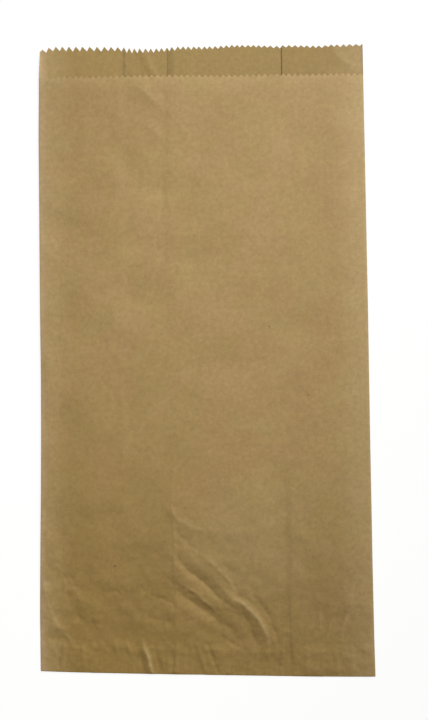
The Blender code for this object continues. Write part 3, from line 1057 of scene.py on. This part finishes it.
# the brown of the clouds, its two casts, a pale tone for fibres, rub and painted light, a pale pink for the
# left strip, painted shade for the lower left and for the crevices, and the tone of the inner face
KRAFT = linear(171, 144, 95)
KRAFT_DARK = linear(161, 133, 83)
KRAFT_OLIVE = linear(165, 142, 91)
KRAFT_ROSE = linear(171, 138, 98)
KRAFT_PALE = linear(193, 167, 123)
KRAFT_PALE_PINK = linear(190, 162, 128)
KRAFT_PAINTED_SHADE = linear(153, 124, 65)
KRAFT_CREVICE_SHADE = linear(112, 90, 50)
KRAFT_INSIDE = linear(155, 129, 74)
BARK = linear(84, 60, 34)
print("kraft tones", [round(c, 3) for c in KRAFT[:3]], [round(c, 3) for c in KRAFT_DARK[:3]])

# %% [markdown]
# The clouds are noise of three sizes, about 30, 6 and 2 mm across. The fibres are noise as well, drawn
# out along one heading and cut off so high that only thin streaks are left, and six headings cross. The
# three numbers that were stored on the mesh are read here too.

# %% Clouds, fibres and the stored marks
here = node(tree, "ShaderNodeTexCoord", {}, {}, output=3)


def noise(scale, detail=2.0, roughness=0.5, stretch=(1, 1, 1), turn=0.0, distortion=0.0):
    """A cloud of values about 0.5, with its grain per metre, stretched and turned in the bag's plane."""
    mapping = {"Vector": here, "Scale": stretch, "Rotation": (0, 0, turn)}
    vector = node(tree, "ShaderNodeMapping", {}, mapping)
    values = {"Vector": vector, "Scale": scale, "Detail": detail, "Roughness": roughness}
    return node(tree, "ShaderNodeTexNoise", {}, {**values, "Distortion": distortion})


FIBRE_LIE = (0.25, 0.9, 1.45, 1.7, 2.3, 2.9)


def lying_fibres(turn):
    """Thin pale fibres, three millimetres long, that all lie near one heading."""
    return noise(4200, 1.0, 0.5, (1, 0.09, 1), turn, 0.5).between(0.64, 0.76)


clouds = noise(36, 2.0, 0.5) * 0.35 + noise(170, 3.0, 0.6) * 0.40 + noise(620, 2.0, 0.6) * 0.25
hue = noise(48, 2.0, 0.5)
fibres = sum((lying_fibres(turn) for turn in FIBRE_LIE[1:]), start=lying_fibres(FIBRE_LIE[0]))
grain = noise(1500, 3.0, 0.75)
mottle = noise(420, 4.0, 0.72)
# the pale number: rub on folds, painted highlight on creases and painted light on the corner
wear_and_highlight_mask = node(tree, "ShaderNodeAttribute", {"attribute_name": "wear_and_highlight"}, {}, output=2)
inner = node(tree, "ShaderNodeAttribute", {"attribute_name": "inside"}, {}, output=2)
# painted shade in the crevices, read from the mesh
crevice_shade_mask = node(tree, "ShaderNodeAttribute", {"attribute_name": "crevice_shade"}, {}, output=2)
print(len(FIBRE_LIE), "headings of fibres")

# %% [markdown]
# Bits of bark stay in unbleached pulp as dark specks. The small ones are scattered by a cell pattern
# and thinned out by a slow noise. Three on the front are large enough to be seen one by one, so they
# have their own places.

# %% Specks of bark
def away_from(point):
    """The distance of each place on the surface from a point, in metres."""
    return node(tree, "ShaderNodeVectorMath", {"operation": "DISTANCE"}, {0: here, 1: point}, output=1)


flecks = node(tree, "ShaderNodeTexVoronoi", {}, {"Vector": here, "Scale": 70.0, "Randomness": 1.0})
speck_mask = (1 - flecks.between(0.014, 0.030)) * noise(61, 0.0).between(0.56, 0.62)
# millimetres across, up from the bottom fold, and in radius
BIG_SPECKS = ((36.2, 187.0, 0.45), (-48.7, 58.1, 0.50), (56.7, 150.4, 0.40))
for x_mm, up_mm, radius in BIG_SPECKS:
    side_mm, rise_mm = np.array([x_mm]), np.array([up_mm])
    speck_x, speck_y = settled(side_mm * MM, rise_mm * MM + BOTTOM)
    speck_z = front_level(side_mm * MM, speck_y) + handling(side_mm, rise_mm) * MM
    away = away_from((float(speck_x[0]), float(speck_y[0]), float(speck_z[0])))
    speck_mask = speck_mask + (1 - away.between(0.5 * radius * MM, 1.3 * radius * MM))
print(len(BIG_SPECKS), "larger specks")

# %% [markdown]
# Use has left the patch where the bag was gripped a little paler, and a narrow strip along the left edge is
# pale and pinkish. The two side edges are painted paler too, as painted light where the front's full edges
# slope away from the lamp, and the lower left is painted darker, as painted shade where the lamp's light
# falls off. Each of them is a mask of the place, with a noise that keeps its border uneven.

# %% Masks of use, and of painted light and painted shade
x_here = node(tree, "ShaderNodeSeparateXYZ", {}, {"Vector": here})
y_here = node(tree, "ShaderNodeSeparateXYZ", {}, {"Vector": here}, output=1)
uneven = noise(90, 2.0)
from_middle = x_here.math("ABSOLUTE", x_here)
# painted light: both side edges are made paler where the front's full edges slope away from the lamp
painted_side_light = (from_middle + uneven * (8 * MM)).between(HALF - 18.0 * MM, HALF + 5.0 * MM)
# a narrow pale pink strip along the left edge
pale_left_strip = (uneven * (7 * MM) - x_here).between(HALF - 1.5 * MM, HALF + 2.5 * MM)
GRIP_PLACE = (22 * MM, BOTTOM + 68 * MM, 4 * MM)
gripped = 1 - (away_from(GRIP_PLACE) + uneven * (10 * MM)).between(12 * MM, 52 * MM)
# painted shade: the lower left is made darker, where the lamp's light falls off
lower_left_shade = 1 - (y_here + x_here * 0.7 + hue * (30 * MM)).between(BOTTOM - 40 * MM, BOTTOM + 175 * MM)
print("gripped about", [round(c / MM, 1) for c in GRIP_PLACE], "mm")

# %% [markdown]
# The tones are laid over each other one by one, each by its mask times how strongly it shows. The
# mottle comes last but one, as a factor on the whole colour, and the bark lies on top.

# %% Mix the tones
MOTTLE_DARKEST = 0.73
MOTTLE_SPAN = 0.54
colour = mix_colours(tree, clouds.between(0.36, 0.64), KRAFT_DARK, KRAFT)
colour = mix_colours(tree, hue.between(0.46, 0.60) * 0.30, colour, KRAFT_ROSE)
colour = mix_colours(tree, (1 - hue.between(0.40, 0.54)) * 0.35, colour, KRAFT_OLIVE)
# painted shade on the lower left
colour = mix_colours(tree, lower_left_shade * 0.95, colour, KRAFT_PAINTED_SHADE)
colour = mix_colours(tree, inner * 0.80, colour, KRAFT_INSIDE)
colour = mix_colours(tree, fibres * 0.16, colour, KRAFT_PALE)
colour = mix_colours(tree, grain.between(0.35, 0.65) * 0.30, colour, KRAFT_DARK)
colour = mix_colours(tree, gripped * 0.22, colour, KRAFT_PALE)
# painted light on the side edges
colour = mix_colours(tree, painted_side_light * 0.40, colour, KRAFT_PALE)
colour = mix_colours(tree, pale_left_strip * 0.55, colour, KRAFT_PALE_PINK)
# painted shade in the gussets' inner folds and along the seam
colour = mix_colours(tree, crevice_shade_mask * 0.62, colour, KRAFT_CREVICE_SHADE)
# pale rub of folds, with painted highlight on creases and painted light on the bent corner
colour = mix_colours(tree, wear_and_highlight_mask * 0.45, colour, KRAFT_PALE)
mottled = {0: colour, "Scale": MOTTLE_DARKEST + mottle * MOTTLE_SPAN}
colour = node(tree, "ShaderNodeVectorMath", {"operation": "SCALE"}, mottled)
colour = mix_colours(tree, speck_mask.math("MINIMUM", speck_mask, 1.0) * 0.85, colour, BARK)
tree.links.new(colour.socket, shader.inputs["Base Color"])
print("the brown takes", len(tree.nodes), "nodes")

# %% [markdown]
# The drying cylinder leaves kraft with a faint gloss, which rubbing takes away, so the places of the stored
# pale number, painted highlight included, are rougher. The tooth of the paper, its fibres as a finger feels
# them, is below a tenth of a millimetre. That is too fine for the mesh, and a Bump node does it.

# %% Sheen and tooth
FIBRE_RELIEF = 0.06 * MM
roughness = 0.62 + clouds * 0.16 + wear_and_highlight_mask * 0.15
tree.links.new(roughness.socket, shader.inputs["Roughness"])
shader.inputs["Specular IOR Level"].default_value = 0.35
tooth = fibres * 0.25 + grain * 0.5 + clouds * 0.6
bump = node(tree, "ShaderNodeBump", {}, {"Height": tooth, "Distance": FIBRE_RELIEF, "Strength": 0.8})
tree.links.new(bump.socket, shader.inputs["Normal"])
bag_mesh.materials.clear()
bag_mesh.materials.append(kraft)
print("kraft paper:", len(tree.nodes), "nodes")

# %% [markdown]
# ## The table
#
# The bag lies on a plain white surface. A white that is bright enough to vanish would need strong
# lamps, which would bleach the bag. Instead the floor shows plain white to the camera and to
# reflections, mixed with a little of its own lit surface, so that a soft shadow of the bag stays.

# %% Floor
FLOOR_SIZE = 6.0
FLOOR_DROP = 0.05 * MM
FLOOR_GREY = 0.86
WHITE_SHOWN = 0.86
WHITE_STRENGTH = 1.05
bpy.ops.mesh.primitive_plane_add(size=FLOOR_SIZE, location=(0, 0, -FLOOR_DROP))
floor = bpy.context.object
floor.name = "floor"
white, floor_tree, floor_shader = new_material("white_table")
floor_shader.inputs["Base Color"].default_value = (FLOOR_GREY, FLOOR_GREY, FLOOR_GREY, 1.0)
floor_shader.inputs["Roughness"].default_value = 0.9
glow = node(floor_tree, "ShaderNodeEmission", {}, {"Color": (1, 1, 1, 1), "Strength": WHITE_STRENGTH})
camera_ray = node(floor_tree, "ShaderNodeLightPath", {}, {}, output=0)
glossy_ray = node(floor_tree, "ShaderNodeLightPath", {}, {}, output=3)
either_ray = camera_ray + glossy_ray
seen = either_ray.math("MINIMUM", either_ray, 1.0)
lit = Socket(floor_tree, floor_shader.outputs[0])
mixed = node(floor_tree, "ShaderNodeMixShader", {}, {0: seen * WHITE_SHOWN, 1: lit, 2: glow})
output = floor_tree.nodes["Material Output"]
floor_tree.links.new(mixed.socket, output.inputs["Surface"])
floor.data.materials.append(white)
print("floor", FLOOR_SIZE, "m")

# %% [markdown]
# ## Light
#
# The picture is lit by one large soft source beyond the mouth, to the right, which leaves the lower
# left corner darkest. One area lamp does that, with its light held within an angle, and an even world
# fills in the rest.

# %% Lamp and world
WINDOW_PLACE = (0.431, 0.744, 0.662)
WINDOW_AIM = (-0.109, -0.04, 0.0)
WINDOW_SIZE = 0.322
WINDOW_SPREAD = 44.5
WINDOW_POWER = 1.03
WINDOW_COLOUR = (0.99, 1.0, 1.0)
ROOM_COLOUR = (1.0, 0.92, 0.76, 1.0)
ROOM_STRENGTH = 0.27
light = bpy.data.lights.new("window", "AREA")
light.size = WINDOW_SIZE
light.spread = math.radians(WINDOW_SPREAD)
light.energy = WINDOW_POWER
light.color = WINDOW_COLOUR
lamp = bpy.data.objects.new("window", light)
lamp.location = WINDOW_PLACE
heading = Vector(WINDOW_AIM) - lamp.location
lamp.rotation_euler = heading.to_track_quat("-Z", "Y").to_euler()
bpy.context.scene.collection.objects.link(lamp)
world = bpy.data.worlds.new("soft_room")
world.use_nodes = True
background = world.node_tree.nodes["Background"]
background.inputs["Color"].default_value = ROOM_COLOUR
background.inputs["Strength"].default_value = ROOM_STRENGTH
bpy.context.scene.world = world

# %% [markdown]
# ## Camera
#
# The camera looks almost straight down. Its place was found from the four corners of the bag: for a
# lens of 35 mm on a 36 mm frame there is one pose that puts them where they are seen, a little right of
# the middle and a little below it, tilted by about two degrees.

# %% Camera
LENS = 35.0
SENSOR = 36.0
CAMERA_PLACE = (16.41 * MM, -17.10 * MM, 383.0 * MM)
CAMERA_TILT = (2.055, 1.569, -0.665)
lens = bpy.data.cameras.new("camera")
lens.lens = LENS
lens.sensor_width = SENSOR
lens.sensor_fit = "AUTO"
camera = bpy.data.objects.new("camera", lens)
camera.location = CAMERA_PLACE
camera.rotation_euler = [math.radians(angle) for angle in CAMERA_TILT]
bpy.context.scene.collection.objects.link(camera)
bpy.context.scene.camera = camera
bpy.context.scene.view_settings.view_transform = "Standard"
print("camera", round(CAMERA_PLACE[2] / MM), "mm above the table")
